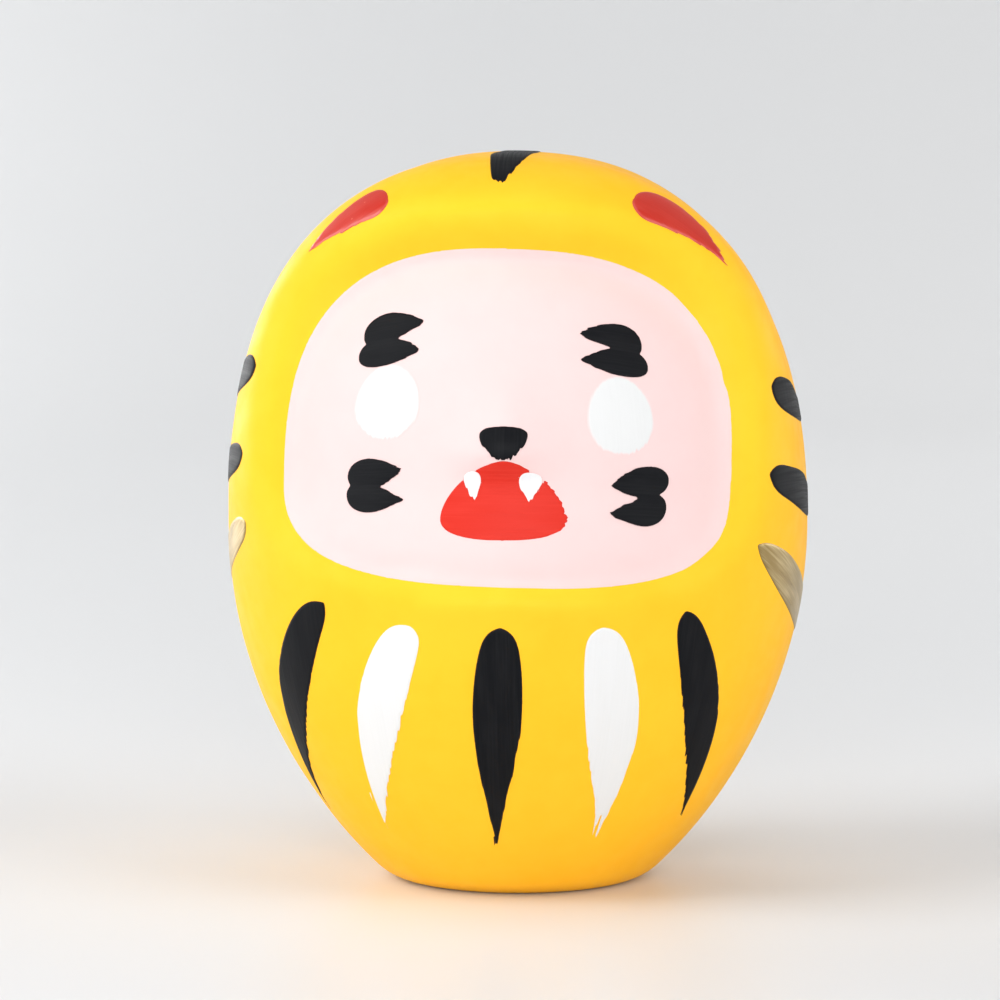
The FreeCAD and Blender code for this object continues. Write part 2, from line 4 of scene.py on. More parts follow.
import bmesh
import bpy
import numpy as np
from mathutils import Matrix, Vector, noise
from mathutils.bvhtree import BVHTree
from mathutils.interpolate import poly_3d_calc


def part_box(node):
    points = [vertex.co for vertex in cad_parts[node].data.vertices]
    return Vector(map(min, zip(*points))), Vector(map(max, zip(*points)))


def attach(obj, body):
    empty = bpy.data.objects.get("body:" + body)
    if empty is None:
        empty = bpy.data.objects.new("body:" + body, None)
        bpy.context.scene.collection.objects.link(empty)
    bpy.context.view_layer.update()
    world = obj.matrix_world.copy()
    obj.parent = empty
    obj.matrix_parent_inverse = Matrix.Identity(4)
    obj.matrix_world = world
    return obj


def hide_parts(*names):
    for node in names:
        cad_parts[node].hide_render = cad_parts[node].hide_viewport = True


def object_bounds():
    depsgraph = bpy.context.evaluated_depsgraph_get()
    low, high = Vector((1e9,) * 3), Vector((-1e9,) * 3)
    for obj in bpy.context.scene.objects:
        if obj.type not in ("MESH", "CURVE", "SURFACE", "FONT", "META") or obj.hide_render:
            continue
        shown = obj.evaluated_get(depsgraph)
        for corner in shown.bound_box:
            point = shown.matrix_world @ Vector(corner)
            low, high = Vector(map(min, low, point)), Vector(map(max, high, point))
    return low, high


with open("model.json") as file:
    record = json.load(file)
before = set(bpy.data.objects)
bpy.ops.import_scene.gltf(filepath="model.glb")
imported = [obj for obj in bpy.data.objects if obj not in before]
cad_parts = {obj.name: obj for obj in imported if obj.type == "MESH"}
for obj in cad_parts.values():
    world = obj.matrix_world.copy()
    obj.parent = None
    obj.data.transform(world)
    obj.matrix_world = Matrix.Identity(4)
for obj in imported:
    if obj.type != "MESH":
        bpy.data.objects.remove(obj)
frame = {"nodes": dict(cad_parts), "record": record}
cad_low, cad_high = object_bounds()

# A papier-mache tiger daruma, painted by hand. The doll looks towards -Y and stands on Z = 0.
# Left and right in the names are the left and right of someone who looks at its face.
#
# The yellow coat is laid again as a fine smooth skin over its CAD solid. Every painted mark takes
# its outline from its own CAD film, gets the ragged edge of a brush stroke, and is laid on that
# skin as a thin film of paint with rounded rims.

MM = 0.001
nodes = frame["nodes"]
scene = bpy.context.scene

# How far out a ray starts, well clear of the doll
REACH = 150 * MM

# The yellow skin: a grid of rings around the doll, seen from a heart inside it
COLUMNS = 320
ROW_STEP = 0.86 * MM
FOOT_ROWS = 9
HEART_SHARE = 0.46  # of the doll's height
PROFILE_RAYS = 1400
HOLE_GAP = 0.1  # radians around straight down, where a ray could fall into the stick hole
FLOOR_GAP = MM / 100
# Where the front's moulding sets in and how soon it is full, as shares of the doll's half depth
FRONT_START = 0.05
FRONT_SPAN = 0.35
# A smoothing step inwards and a slightly larger one outwards, so nothing shrinks
FAIRING_ROUNDS = 4
FAIRING_GAIN = 0.5
FAIRING_LOSS = -0.53
# The hand-laid paper's waves: (frequency per metre, height in millimetres)
HAND_WAVES = ((26.0, 0.16), (55.0, 0.10), (120.0, 0.035))
FOOT_FADE = 12.0 * MM
SKIN_DEPTH = 0.15 * MM
ROUNDING = 0.75  # how much of the way from flat triangles to a round skin

# Paint films
FACE_FILM = 0.13 * MM
MARK_FILM = 0.12 * MM
UNDER_FILM = 0.06 * MM
FILM_ROOT = 0.05 * MM
UNDERLAP = 1.2 * MM  # how far a mark runs on under the one that is painted over it

# The grids that the marks are drawn on
BODY_HEIGHT = 50 * MM  # a place on the doll's axis that every mark looks away from
CANVAS_MARGIN = 8  # grid steps
OUTLINE_STEP = 0.25 * MM
OUTLINE_HALVINGS = 6
BATCH = 1500  # spots that are measured at once, to spare memory
TINY = 1e-18
LEAST_DEPTH = 0.12  # of a grid step: nearer to the outline than this a spot makes slivers

# Bristles run on or fall short in waves and, on top of that, in lines. A line's width and pull are
# shares of the bristle's own, and its reach is a number of lines.
LINE_WIDTH = 0.5
LINE_PULL = 0.8
LINE_REACH = 1.7
LINE_SEED = 9.3
CLEAN_HEAD = 0.15  # the share of a stroke before its bristles part
PARTING = 0.4  # the share of it over which they do
HAIR_TAPER = 0.9
SEED_STEP = 3.7  # between one mark's chance offsets and the next one's


def ease(share):
    share = np.clip(share, 0.0, 1.0)
    return share * share * (3 - 2 * share)


# ---------------------------------------------------------------- skins


class Skin:
    """Triangles that a ray can touch, rounded out between their corners."""

    def __init__(self, points, corners, normals):
        self.points = points
        self.corners = corners
        self.normals = normals
        self.tree = BVHTree.FromPolygons(points, corners)

    def touch(self, origin, direction):
        """The rounded place that a ray meets first and the direction straight out of it there."""
        place, _, face, _ = self.tree.ray_cast(origin, direction)
        if place is None:
            return None
        ends = self.corners[face]
        shares = poly_3d_calc([self.points[end] for end in ends], place)
        outward = Vector((0, 0, 0))
        rounded = Vector((0, 0, 0))
        for share, end in zip(shares, ends):
            normal = self.normals[end]
            outward += share * normal
            rounded += share * (place - normal * (place - self.points[end]).dot(normal))
        return place.lerp(rounded, ROUNDING), outward.normalized()

    def meets(self, origin, direction):
        return self.tree.ray_cast(origin, direction)[0] is not None


def cad_skin(node):
    """The skin of a CAD node, its split corners joined."""
    shape = bmesh.new()
    shape.from_mesh(nodes[node].data)
    bmesh.ops.remove_doubles(shape, verts=shape.verts, dist=MM / 1000)
    shape.normal_update()
    skin = Skin(
        [corner.co.copy() for corner in shape.verts],
        [[corner.index for corner in face.verts] for face in shape.faces],
        [corner.normal.copy() for corner in shape.verts],
    )
    shape.free()
    return skin


def mesh_from(name, points, faces):
    mesh = bpy.data.meshes.new(name)
    mesh.from_pydata([tuple(point) for point in points], [], [tuple(face) for face in faces])
    mesh.polygons.foreach_set("use_smooth", [True] * len(mesh.polygons))
    return mesh


def normals_of(mesh):
    values = np.empty(len(mesh.vertices) * 3)
    mesh.vertex_normals.foreach_get("vector", values)
    return values.reshape(-1, 3)


def add_piece(name, mesh, material, replaced):
    """Show a mesh as a piece of the doll that stands for one CAD node."""
    piece = bpy.data.objects.new(name, mesh)
    scene.collection.objects.link(piece)
    mesh.materials.append(material)
    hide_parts(replaced)
    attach(piece, "root")
    return piece


# ---------------------------------------------------------------- the yellow coat


def skin_directions(skin, heart, hole_radius):
    """The polar angles of the rows, evenly walked down the doll's side and then in to the hole."""
    fine = np.linspace(0, math.pi, PROFILE_RAYS)
    places = []
    for polar in fine:
        out = Vector((math.sin(polar), 0, math.cos(polar)))
        clear = polar < math.pi - HOLE_GAP
        places.append(skin.touch(heart + out * REACH, -out)[0] if clear else None)
    walked = [0.0]
    angles = [0.0]
    for before, after, polar in zip(places, places[1:], fine[1:]):
        if after is None or after.z < FLOOR_GAP:
            break
        walked.append(walked[-1] + (after - before).length)
        angles.append(polar)
        flat_radius = after.x
    count = round(walked[-1] / ROW_STEP)
    rows = list(np.interp(np.linspace(0, walked[-1], count + 1)[1:], walked, angles))
    for step in range(1, FOOT_ROWS + 1):
        radius = flat_radius + (hole_radius - flat_radius) * step / FOOT_ROWS
        rows.append(math.pi - math.atan2(radius, heart.z))
    return rows


def touch_coat(cad, around, polar, heart, depth):
    """The skin's place for a direction from the heart, on the front as well as on the back.

    The back is a plain egg. The front is that egg moulded forwards, so its place is looked for
    straight ahead of the back's mirror image, and the more sideways the nearer to the side.
    """
    flat = math.sin(polar)
    out = Vector((flat * math.sin(around), -flat * math.cos(around), math.cos(polar)))
    if out.y >= 0:
        return cad.touch(heart + out * REACH, -out)[0]
    mirror = Vector((out.x, -out.y, out.z))
    egg = cad.touch(heart + mirror * REACH, -mirror)[0]
    egg.y = -egg.y
    front = float(ease((-egg.y / depth - FRONT_START) / FRONT_SPAN))
    aim = (out * (1 - front) + Vector((0, -1, 0)) * front).normalized()
    return cad.touch(egg + aim * REACH, -aim)[0]


def fair(grid, top):
    """Even out the grid's small bumps without shrinking it, and give it and its top point back."""
    for gain in [FAIRING_GAIN, FAIRING_LOSS] * FAIRING_ROUNDS:
        above = np.concatenate([np.repeat(top[None, None], COLUMNS, axis=1), grid[:-1]])
        below = np.concatenate([grid[1:], grid[-1:]])
        sides = np.roll(grid, 1, axis=1) + np.roll(grid, -1, axis=1)
        move = (above + below + sides) / 4 - grid
        top = top + gain * (grid[0].mean(axis=0) - top)
        move[-FOOT_ROWS:] = 0
        grid = grid + gain * move
    return grid, top


def skin_faces(row_count, first, top):
    """The quads of a grid of rings that starts at a vertex number, closed by a fan at its top."""
    faces = []
    for around in range(COLUMNS):
        beside = (around + 1) % COLUMNS
        faces.append((first + beside, top, first + around))
        for row in range(row_count - 1):
            here = first + row * COLUMNS
            under = here + COLUMNS
            faces.append((here + around, under + around, under + beside, here + beside))
    return faces


def hand_wave(point):
    """How far the hand-laid paper stands off the true form at a point."""
    lift = 0.0
    for frequency, size in HAND_WAVES:
        lift += size * MM * noise.noise(Vector(point) * frequency + Vector((3.1, 7.7, frequency)))
    return lift


def make_yellow_skin():
    """Points and faces of the outside of the coat, from its crown to the stick hole, and the number
    of its rows.
    """
    low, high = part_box("yellow_coat")
    heart = Vector((0, 0, (low.z + high.z) * HEART_SHARE))
    mounts = {mount["name"]: mount for mount in frame["record"]["mounts"]}
    hole_radius = mounts["stick_hole"]["dims"]["r_mm"] * MM
    cad = cad_skin("yellow_coat")
    rows = skin_directions(cad, heart, hole_radius)
    grid = np.empty((len(rows), COLUMNS, 3))
    for row, polar in enumerate(rows):
        for around in range(COLUMNS):
            turn = 2 * math.pi * around / COLUMNS
            if row == len(rows) - 1:
                grid[row, around] = (hole_radius * math.sin(turn), -hole_radius * math.cos(turn), 0)
            else:
                grid[row, around] = touch_coat(cad, turn, polar, heart, high.y)
    top = np.array(cad.touch(heart + Vector((0, 0, REACH)), Vector((0, 0, -1)))[0])
    grid, top = fair(grid, top)
    faces = skin_faces(len(rows), 1, 0)
    points = np.vstack([top[None], grid.reshape(-1, 3)])
    normals = normals_of(mesh_from("form", points, faces))
    for index, point in enumerate(points):
        fade = min(1.0, max(0.0, point[2] / FOOT_FADE))
        points[index] += normals[index] * hand_wave(point) * fade * fade
    points[:, 2] = np.maximum(points[:, 2], 0)
    return points, faces, len(rows)


def close_skin(points, faces, row_count):
    """The skin with an inner side a little way in, joined to it around the stick hole."""
    inside = points - normals_of(mesh_from("outside", points, faces)) * SKIN_DEPTH
    offset = len(points)
    outer = 1 + (row_count - 1) * COLUMNS
    inner = offset + outer
    closed = list(faces) + [tuple(offset + corner for corner in reversed(face)) for face in faces]
    for around in range(COLUMNS):
        beside = (around + 1) % COLUMNS
        closed.append((outer + around, inner + around, inner + beside, outer + beside))
    return np.vstack([points, inside]), closed


# ---------------------------------------------------------------- brush marks


class Canvas:
    """A flat grid held over a mark: x runs along its brush stroke and y across it."""

    def __init__(self, node, along, step):
        corners = np.array([vertex.co for vertex in nodes[node].data.vertices])
        self.heart = Vector(corners.mean(axis=0))
        main_axes = np.linalg.svd(corners - corners.mean(axis=0), full_matrices=False)[2]
        self.outward = Vector(main_axes[2])
        if self.outward.dot(self.heart - Vector((0, 0, BODY_HEIGHT))) < 0:
            self.outward.negate()
        along = Vector(along)
        self.along = (along - self.outward * along.dot(self.outward)).normalized()
        self.across = self.outward.cross(self.along)
        flat = (corners - np.array(self.heart)) @ np.array([self.along, self.across]).T
        self.low = flat.min(axis=0) - CANVAS_MARGIN * step
        self.high = flat.max(axis=0) + CANVAS_MARGIN * step
        self.step = step

    def grid(self):
        counts = np.ceil((self.high - self.low) / self.step).astype(int) + 1
        x = self.low[0] + np.arange(counts[0]) * self.step
        y = self.low[1] + np.arange(counts[1]) * self.step
        return np.stack(np.meshgrid(x, y, indexing="ij"), axis=-1)

    def origin(self, spot):
        return self.heart + self.along * spot[0] + self.across * spot[1] + self.outward * REACH

    def covers(self, skin, spot):
        return skin.meets(self.origin(spot), -self.outward)


def outline_of(node, canvas, step):
    """The outline of a CAD film seen from its canvas, as many short straight pieces."""
    skin = cad_skin(node)
    count = np.ceil((canvas.high - canvas.low) / step).astype(int) + 1
    spots = {}
    for i in range(count[0]):
        for j in range(count[1]):
            spot = canvas.low + np.array([i, j]) * step
            spots[i, j] = (spot, canvas.covers(skin, spot))

    def crossing(start, end):
        (inner, covered), (outer, _) = spots[start], spots[end]
        if not covered:
            inner, outer = outer, inner
        for _ in range(OUTLINE_HALVINGS):
            middle = (inner + outer) / 2
            if canvas.covers(skin, middle):
                inner = middle
            else:
                outer = middle
        return (inner + outer) / 2

    pieces = []
    for i in range(count[0] - 1):
        for j in range(count[1] - 1):
            ring = [(i, j), (i + 1, j), (i + 1, j + 1), (i, j + 1)]
            cuts = [
                crossing(start, end)
                for start, end in zip(ring, ring[1:] + ring[:1])
                if spots[start][1] != spots[end][1]
            ]
            for first, second in zip(cuts[::2], cuts[1::2]):
                pieces.append((first, second))
    return np.array(pieces)


def depth_inside(spots, outline):
    """How far each spot lies inside the outline, and less than nothing outside it."""
    flat = spots.reshape(-1, 2)
    depths = np.empty(len(flat))
    start, run = outline[:, 0], outline[:, 1] - outline[:, 0]
    length = np.maximum((run**2).sum(axis=1), TINY)
    for first in range(0, len(flat), BATCH):
        part = flat[first : first + BATCH, None]
        share = np.clip(((part - start) * run).sum(axis=2) / length, 0, 1)
        gap = np.sqrt((((part - start) - share[..., None] * run) ** 2).sum(axis=2).min(axis=1))
        above = (start[:, 1] > part[..., 1]) != (start[:, 1] + run[:, 1] > part[..., 1])
        rise = np.where(run[:, 1] == 0, TINY, run[:, 1])
        reach = start[:, 0] + (part[..., 1] - start[:, 1]) / rise * run[:, 0]
        odd = (above & (reach > part[..., 0])).sum(axis=1) % 2
        depths[first : first + BATCH] = np.where(odd == 1, gap, -gap)
    return depths.reshape(spots.shape[:2])


def wander(values, seed, size, reach):
    """Smooth chance offsets for a list of values: size is their height and reach their length."""
    return np.array([size * noise.noise(Vector((value / reach, seed, 0.5))) for value in values])


def ragged(spots, seed, bristle, pull):
    """The spots, each moved along the stroke by how far its own bristle ran on or fell short.

    The bristles part as the stroke goes on, so its head stays clean and its tail is ragged.
    """
    across = spots[0, :, 1]
    along = spots[:, 0, 0]
    lines = np.round(across / (LINE_WIDTH * bristle)).astype(int)
    pulls = wander(across, seed, pull, bristle)
    pulls = pulls + wander(lines, seed + LINE_SEED, pull * LINE_PULL, LINE_REACH)
    walked = (along - along[0]) / (along[-1] - along[0])
    moved = spots.copy()
    moved[..., 0] += pulls[None, :] * ease((walked - CLEAN_HEAD) / PARTING)[:, None]
    return moved


def tip_of(spots, depth):
    """The middle of the wet spots that lie furthest along the stroke."""
    wet = depth > 0
    last = np.nonzero(wet.any(axis=1))[0][-1]
    return spots[last][wet[last]].mean(axis=0)


def hair_depth(spots, tip, start, end, width):
    """How far each spot lies inside a hair that thins from its start to its end.

    The ends are (along the stroke, across it) from the tip, in millimetres like the width.
    """
    start, end = tip + np.array(start) * MM, tip + np.array(end) * MM
    run = end - start
    share = np.clip(((spots - start) @ run) / (run @ run), 0, 1)
    gap = np.linalg.norm(spots - start - share[..., None] * run, axis=-1)
    return width * MM * np.sqrt(1 - HAIR_TAPER * share) - gap


def film_faces(depth, step):
    """Cut a grid's triangles at depth nought. Gives the cut vertices, the faces and the rim.

    A vertex is (grid number, grid number, share between them), and the rim is a list of edges.
    """
    least = LEAST_DEPTH * step
    depth = np.where(np.abs(depth) < least, np.where(depth < 0, -least, least), depth)
    rows, columns = depth.shape
    flat = depth.ravel()
    numbers = {}
    faces = []
    rim = []

    def number(first, second, share):
        key = (min(first, second), max(first, second))
        if key not in numbers:
            numbers[key] = (len(numbers), first, second, share)
        return numbers[key][0]

    wet = depth > 0
    busy = wet[:-1, :-1] | wet[1:, :-1] | wet[:-1, 1:] | wet[1:, 1:]
    for i, j in zip(*np.nonzero(busy)):
        a, b = i * columns + j, (i + 1) * columns + j
        c, d = b + 1, a + 1
        halves = ((a, b, c), (a, c, d)) if (i + j) % 2 else ((a, b, d), (b, c, d))
        for half in halves:
            loop = []
            cuts = []
            for start, end in zip(half, half[1:] + half[:1]):
                if flat[start] > 0:
                    loop.append(number(start, start, 0.0))
                if (flat[start] > 0) != (flat[end] > 0):
                    share = flat[start] / (flat[start] - flat[end])
                    cuts.append(number(start, end, share))
                    loop.append(cuts[-1])
            if len(loop) >= 3:
                faces.append(tuple(loop))
            if len(cuts) == 2:
                spots = [loop.index(cut) for cut in cuts]
                ahead = (spots[0] + 1) % len(loop) == spots[1]
                rim.append((cuts[0], cuts[1]) if ahead else (cuts[1], cuts[0]))
    return list(numbers.values()), faces, rim


def lay_film(name, canvas, skin, depth, spots, height, base, rim_height, rim_width):
    """A film of paint on the skin where the depth is above nought, as a closed mesh.

    Its top rises from the rim height to the full height over the rim width. The mesh remembers
    each vertex's place along and across the brush stroke and its depth, in millimetres.
    """
    vertices, faces, rim = film_faces(depth, canvas.step)
    flat_spots = spots.reshape(-1, 2)
    flat_depth = depth.ravel()
    count = len(vertices)
    tops = []
    roots = []
    values = []
    for _, first, second, share in vertices:
        spot = flat_spots[first] * (1 - share) + flat_spots[second] * share
        inside = 0.0 if first != second else float(flat_depth[first])
        place, outward = skin.touch(canvas.origin(spot), -canvas.outward)
        rise = rim_height + (height - rim_height) * float(ease(inside / rim_width))
        tops.append(place + outward * (base + rise))
        roots.append(place + outward * (base - FILM_ROOT))
        values.append((spot[0] / MM, spot[1] / MM, inside / MM))
    closed = list(faces) + [tuple(count + corner for corner in reversed(face)) for face in faces]
    closed += [(second, first, count + first, count + second) for first, second in rim]
    mesh = mesh_from(name, tops + roots, closed)
    edges = {tuple(sorted(edge)) for edge in rim}
    sharp = mesh.attributes.new("sharp_edge", "BOOLEAN", "EDGE")
    sharp.data.foreach_set("value", [tuple(sorted(edge.vertices)) in edges for edge in mesh.edges])
    for column, label in enumerate(("along", "across", "depth")):
        attribute = mesh.attributes.new(label, "FLOAT", "POINT")
        attribute.data.foreach_set("value", [value[column] for value in values] * 2)
    return mesh


# ---------------------------------------------------------------- materials

# Scales of noise are per metre, apart from those along a brush stroke.

# The Mix node's sockets when it mixes colours
MIX_SHARE, MIX_FIRST, MIX_SECOND, MIX_RESULT = 0, 6, 7, 2


class Recipe:
    """A material whose nodes are added one by one around a Principled shader."""

    def __init__(self, name):
        self.material = bpy.data.materials.new(name)
        self.material.use_nodes = True
        self.tree = self.material.node_tree
        self.shader = self.tree.nodes["Principled BSDF"]
        self.place = self.add("ShaderNodeTexCoord").outputs["Object"]

    def add(self, kind, **settings):
        node = self.tree.nodes.new(kind)
        for name, value in settings.items():
            setattr(node, name, value)
        return node

    def feed(self, socket, value):
        """Link a socket to another node's output, or set it to a plain number or colour."""
        if isinstance(value, bpy.types.NodeSocket):
            self.tree.links.new(value, socket)
        else:
            socket.default_value = value

    def attribute(self, name):
        return self.add("ShaderNodeAttribute", attribute_name=name).outputs["Fac"]

    def math(self, operation, first, second):
        node = self.add("ShaderNodeMath", operation=operation)
        self.feed(node.inputs[0], first)
        self.feed(node.inputs[1], second)
        return node.outputs[0]

    def noise(self, vector, scale, detail=2.0, roughness=0.5):
        node = self.add("ShaderNodeTexNoise")
        self.feed(node.inputs["Vector"], vector)
        node.inputs["Scale"].default_value = scale
        node.inputs["Detail"].default_value = detail
        node.inputs["Roughness"].default_value = roughness
        return node.outputs["Fac"]

    def stroke(self, along, across):
        """A vector that runs with the brush: slow along the stroke and quick across it."""
        node = self.add("ShaderNodeCombineXYZ")
        self.feed(node.inputs[0], self.math("MULTIPLY", self.attribute("along"), along))
        self.feed(node.inputs[1], self.math("MULTIPLY", self.attribute("across"), across))
        return node.outputs[0]

    def remap(self, value, low, high, to_low=0.0, to_high=1.0):
        """A value that eases between two others as the given one goes from low to high."""
        node = self.add("ShaderNodeMapRange", interpolation_type="SMOOTHSTEP")
        for socket, number in zip(node.inputs, (value, low, high, to_low, to_high)):
            self.feed(socket, number)
        return node.outputs[0]

    def mix(self, share, first, second):
        """The first colour where the share is 0 and the second where it is 1."""
        node = self.add("ShaderNodeMix", data_type="RGBA")
        self.feed(node.inputs[MIX_SHARE], share)
        self.feed(node.inputs[MIX_FIRST], first)
        self.feed(node.inputs[MIX_SECOND], second)
        return node.outputs[MIX_RESULT]

    def bump(self, height, strength, distance, under=None):
        node = self.add("ShaderNodeBump")
        node.inputs["Strength"].default_value = strength
        node.inputs["Distance"].default_value = distance
        self.feed(node.inputs["Height"], height)
        if under is not None:
            self.feed(node.inputs["Normal"], under)
        return node.outputs["Normal"]

    def blend(self, first, second, first_share):
        """Two grey values mixed by fixed shares."""
        first_part = self.math("MULTIPLY", first, first_share)
        return self.math("ADD", first_part, self.math("MULTIPLY", second, 1 - first_share))

    def finish(self, colour, roughness, normal, specular, metallic=0.0):
        self.feed(self.shader.inputs["Base Color"], colour)
        self.feed(self.shader.inputs["Roughness"], roughness)
        self.feed(self.shader.inputs["Normal"], normal)
        self.shader.inputs["Specular IOR Level"].default_value = specular
        self.shader.inputs["Metallic"].default_value = metallic
        return self.material


def scaled(colour, gain):
    return (*(min(1.0, level * gain) for level in colour[:3]), 1.0)


def coat_material(name, colour, deep, roughness):
    """Matte distemper over paper: faint clouds of thicker paint, laid-paper dimples and grain."""
    recipe = Recipe(name)
    clouds = recipe.noise(recipe.place, scale=55.0, detail=4.0, roughness=0.6)
    patches = recipe.noise(recipe.place, scale=260.0, detail=3.0, roughness=0.55)
    share = recipe.blend(clouds, patches, 0.65)
    mixed = recipe.mix(recipe.remap(share, 0.36, 0.64), colour, deep)
    grain = recipe.noise(recipe.place, scale=2600.0, roughness=0.6)
    dimples = recipe.noise(recipe.place, scale=420.0)
    normal = recipe.bump(grain, strength=0.22, distance=0.02 * MM)
    normal = recipe.bump(dimples, strength=0.35, distance=0.05 * MM, under=normal)
    rough = recipe.remap(patches, 0.3, 0.7, roughness - 0.05, roughness + 0.06)
    return recipe.finish(mixed, rough, normal, specular=0.1)


def paint_material(
    name, body, streak, thin, thin_width, roughness, metallic=0.0, gloss=0.2, painted_glints=None
):
    """Brush paint: streaks along the stroke, a fine grain, and a thinner rim of another colour.

    The rim's width is in millimetres. Painted glints are small pale dots of a third colour, painted
    highlights where light glints off rough paint.
    """
    recipe = Recipe(name)
    bristles = recipe.stroke(along=0.06, across=2.6)
    hairs = recipe.noise(bristles, scale=1.0, detail=3.0, roughness=0.65)
    sweep = recipe.noise(recipe.stroke(along=0.10, across=0.5), scale=1.0)
    share = recipe.blend(hairs, sweep, 0.6)
    mixed = recipe.mix(recipe.remap(share, 0.40, 0.68), body, streak)
    wobble = recipe.math("MULTIPLY", recipe.math("SUBTRACT", hairs, 0.5), thin_width * 0.9)
    depth = recipe.math("ADD", recipe.attribute("depth"), wobble)
    mixed = recipe.mix(recipe.remap(depth, 0.0, thin_width), thin, mixed)
    # Painted highlights: pale dots of colour stand in for glints of light on the rough paint
    if painted_glints is not None:
        dots = recipe.add("ShaderNodeTexVoronoi")
        recipe.feed(dots.inputs["Vector"], recipe.place)
        dots.inputs["Scale"].default_value = 420.0
        glint_share = recipe.remap(dots.outputs["Distance"], 0.07, 0.13, to_low=0.7, to_high=0.0)
        mixed = recipe.mix(glint_share, mixed, painted_glints)
    grain = recipe.noise(recipe.place, scale=2200.0, roughness=0.6)
    normal = recipe.bump(grain, strength=0.2, distance=0.02 * MM)
    normal = recipe.bump(hairs, strength=0.5, distance=0.04 * MM, under=normal)
    rough = recipe.remap(hairs, 0.3, 0.7, roughness - 0.07, roughness + 0.08)
    return recipe.finish(mixed, rough, normal, specular=gloss, metallic=metallic)


def raw_material(name, colour, deep, scale, roughness, relief):
    """Bare stuff inside the doll: fibres or clay, with lumps as high as the relief."""
    recipe = Recipe(name)
    lumps = recipe.noise(recipe.place, scale, detail=5.0, roughness=0.65)
    fibres = recipe.add("ShaderNodeTexVoronoi", feature="DISTANCE_TO_EDGE")
    recipe.feed(fibres.inputs["Vector"], recipe.place)
    fibres.inputs["Scale"].default_value = scale * 2.3
    mixed = recipe.mix(recipe.remap(lumps, 0.35, 0.65), colour, deep)
    normal = recipe.bump(fibres.outputs["Distance"], strength=0.3, distance=relief * 0.5)
    normal = recipe.bump(lumps, strength=0.6, distance=relief, under=normal)
    rough = recipe.remap(lumps, 0.3, 0.7, roughness, min(1.0, roughness + 0.1))
    return recipe.finish(mixed, rough, normal, specular=0.3)


# A DEEP colour lies in patches between its main one, a STREAK runs with the brush, and a RIM is
# where the paint is thin.
YELLOW = (0.95, 0.495, 0.021, 1.0)
YELLOW_DEEP = (0.94, 0.47, 0.017, 1.0)
PINK = (0.72, 0.535, 0.525, 1.0)
PINK_DEEP = (0.715, 0.522, 0.512, 1.0)
WHITE = (0.68, 0.685, 0.69, 1.0)
WHITE_DEEP = (0.665, 0.67, 0.672, 1.0)
EYE_WHITE = (0.635, 0.64, 0.64, 1.0)
BLACK = (0.004, 0.0045, 0.006, 1.0)
BLACK_STREAK = (0.009, 0.0095, 0.011, 1.0)
BLACK_RIM = (0.10, 0.04, 0.012, 1.0)
RED = (0.57, 0.023, 0.012, 1.0)
RED_STREAK = (0.60, 0.032, 0.020, 1.0)
EAR = (0.48, 0.017, 0.006, 1.0)
EAR_STREAK = (0.54, 0.040, 0.025, 1.0)
# Painted highlight: the pale colour of the dots that stand in for glints of light on the ear's
# paint
EAR_PAINTED_GLINT = (0.75, 0.30, 0.24, 1.0)
FANG_RIM = (0.78, 0.5, 0.48, 1.0)
FACE_BLACK_RIM = (0.06, 0.03, 0.03, 1.0)
GOLD = (0.35, 0.24, 0.085, 1.0)
GOLD_STREAK = (0.62, 0.49, 0.26, 1.0)
PAPER = (0.62, 0.56, 0.46, 1.0)
PAPER_DEEP = (0.48, 0.42, 0.33, 1.0)
WASHI = (0.72, 0.68, 0.60, 1.0)
WASHI_DEEP = (0.62, 0.57, 0.48, 1.0)
CLAY = (0.36, 0.22, 0.13, 1.0)
CLAY_DEEP = (0.25, 0.15, 0.09, 1.0)
CHALK = (0.74, 0.72, 0.68, 1.0)
CHALK_DEEP = (0.66, 0.63, 0.58, 1.0)
BOARD = (0.705, 0.713, 0.722, 1.0)
BOARD_CLOUD = (0.73, 0.738, 0.746, 1.0)
# Painted light: the paler colour of the pool of light on the board behind the doll
BOARD_LIT_PATCH = (0.87, 0.875, 0.88, 1.0)

yellow = coat_material("yellow_distemper", YELLOW, YELLOW_DEEP, roughness=0.52)
pink = coat_material("pink_distemper", PINK, PINK_DEEP, roughness=0.6)
white = paint_material(
    "white_paint", WHITE, WHITE_DEEP, scaled(YELLOW, 0.95), thin_width=0.10, roughness=0.55
)
face_white = paint_material(
    "eye_white", EYE_WHITE, scaled(EYE_WHITE, 0.98), PINK, thin_width=0.45, roughness=0.6
)
fang_white = paint_material(
    "fang_white", WHITE, WHITE_DEEP, FANG_RIM, thin_width=0.08, roughness=0.5
)
black = paint_material(
    "black_paint", BLACK, BLACK_STREAK, BLACK_RIM, thin_width=0.10, roughness=0.5, gloss=0.08
)
face_black = paint_material(
    "face_black", BLACK, BLACK_STREAK, FACE_BLACK_RIM, thin_width=0.08, roughness=0.5, gloss=0.08
)
red = paint_material(
    "red_paint", RED, RED_STREAK, scaled(RED, 0.9), thin_width=0.12, roughness=0.5, gloss=0.12
)
ear_red = paint_material(
    "ear_paint", EAR, EAR_STREAK, scaled(EAR, 0.9), thin_width=0.15, roughness=0.36, gloss=0.8,
    painted_glints=EAR_PAINTED_GLINT,
)
gold = paint_material(
    "gold_paint", GOLD, GOLD_STREAK, scaled(GOLD, 0.8), thin_width=0.2, roughness=0.34, metallic=1.0
)
paper = raw_material(
    "paper_pulp", PAPER, PAPER_DEEP, scale=420.0, roughness=0.85, relief=0.15 * MM
)
washi = raw_material(
    "washi_strip", WASHI, WASHI_DEEP, scale=700.0, roughness=0.8, relief=0.08 * MM
)
clay = raw_material("clay", CLAY, CLAY_DEEP, scale=260.0, roughness=0.8, relief=0.3 * MM)
ground = raw_material(
    "gofun_ground", CHALK, CHALK_DEEP, scale=600.0, roughness=0.75, relief=0.05 * MM
)


# ---------------------------------------------------------------- the doll

